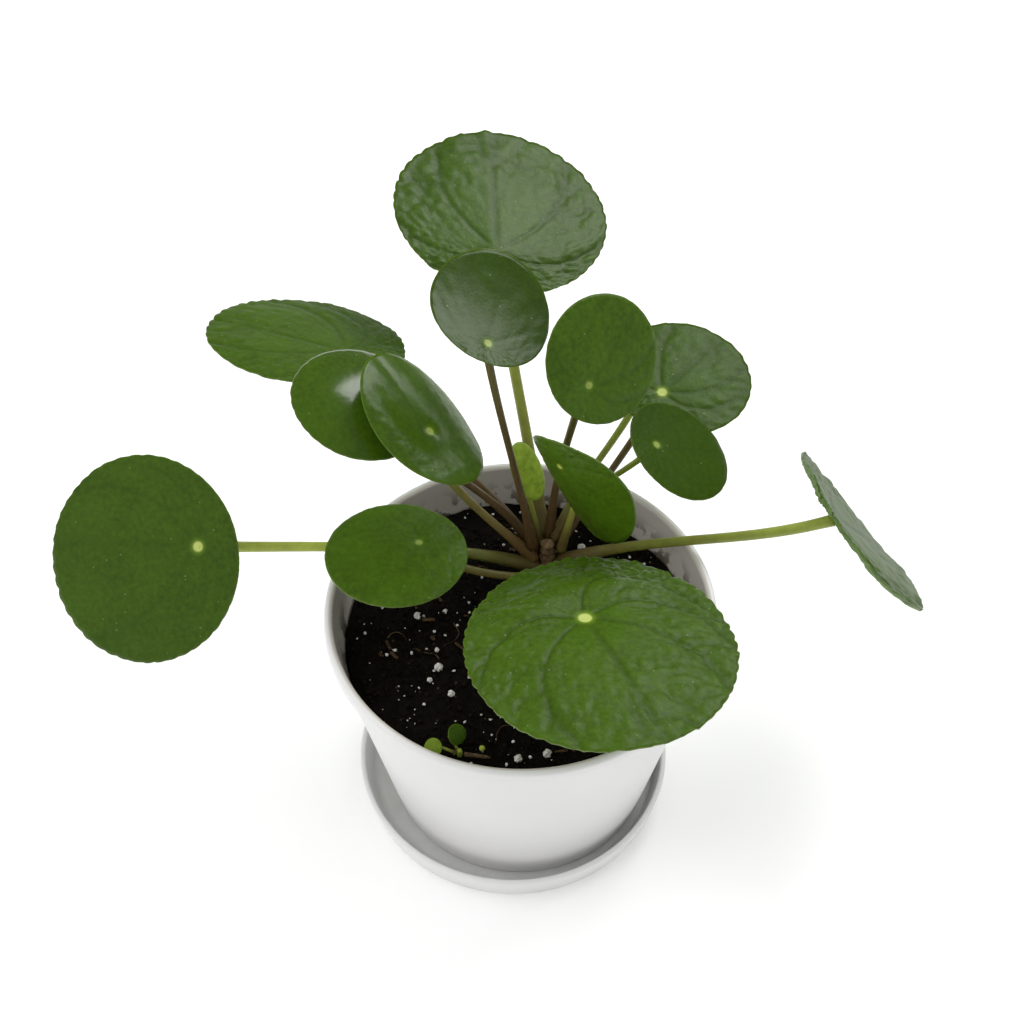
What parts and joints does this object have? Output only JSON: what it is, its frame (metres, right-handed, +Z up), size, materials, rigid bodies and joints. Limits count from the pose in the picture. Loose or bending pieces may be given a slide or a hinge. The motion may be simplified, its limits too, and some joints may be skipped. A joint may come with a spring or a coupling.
{
  "type": "potted chinese money plant",
  "caption": "Potted money plant: round peltate leaves on long stalks from a short stem, in a tapered white plastic pot of soil on a round saucer.",
  "frame": {"origin": "on the pot's axis, at the underside of the saucer, the face that the plant rests on", "axes": "+Z up; +X to the plant's right and -Y towards its front, the side with the large low leaf and the open soil"},
  "size_m": [0.2948, 0.2467, 0.1925],
  "materials": {
    "pot_plastic": "satin white moulded plastic",
    "saucer_plastic": "satin white moulded plastic",
    "potting_soil": "damp, rough, almost black potting mix",
    "perlite": "chalky white grains",
    "stem_bark": "rough brown stem with leaf scars",
    "leaf_green": "waxy dark green leaf",
    "leaf_dark": "waxy blackish green leaf",
    "leaf_young": "waxy yellow-green young leaf",
    "stalk_green": "smooth yellow-green leaf stalk",
    "stalk_brown": "smooth brown leaf stalk"
  },
  "bodies": {
    "root": {"blade_back_left": "leaf_green", "blade_back_right": "leaf_green", "blade_dark_right": "leaf_dark", "blade_domed": "leaf_green", "blade_far_left": "leaf_green", "blade_far_right": "leaf_green", "blade_folded": "leaf_green", "blade_front": "leaf_green", "blade_long": "leaf_green", "blade_low_left": "leaf_green", "blade_plantlet_dark": "leaf_green", "blade_plantlet_light": "leaf_young", "blade_sheltered": "leaf_green", "blade_top": "leaf_green", "blade_upper_middle": "leaf_green", "blade_upper_right": "leaf_green", "blade_young": "leaf_young", "main_stem": "stem_bark", "perlite_01": "perlite", "perlite_02": "perlite", "perlite_03": "perlite", "perlite_04": "perlite", "perlite_05": "perlite", "perlite_06": "perlite", "perlite_07": "perlite", "perlite_08": "perlite", "perlite_09": "perlite", "perlite_10": "perlite", "perlite_11": "perlite", "petiole_back_left": "stalk_brown", "petiole_back_right": "stalk_brown", "petiole_dark_right": "stalk_green", "petiole_domed": "stalk_brown", "petiole_far_left": "stalk_green", "petiole_far_right": "stalk_green", "petiole_folded": "stalk_green", "petiole_front": "stalk_green", "petiole_long": "stalk_green", "petiole_low_left": "stalk_green", "petiole_plantlet_dark": "stalk_green", "petiole_plantlet_light": "stalk_green", "petiole_sheltered": "stalk_green", "petiole_top": "stalk_green", "petiole_upper_middle": "stalk_brown", "petiole_upper_right": "stalk_brown", "petiole_young": "stalk_green", "plantlet_bud": "leaf_young", "plantlet_crown": "stalk_green", "plantlet_runner": "stem_bark", "pot": "pot_plastic", "saucer": "saucer_plastic", "soil": "potting_soil"}
  },
  "joints": []
}
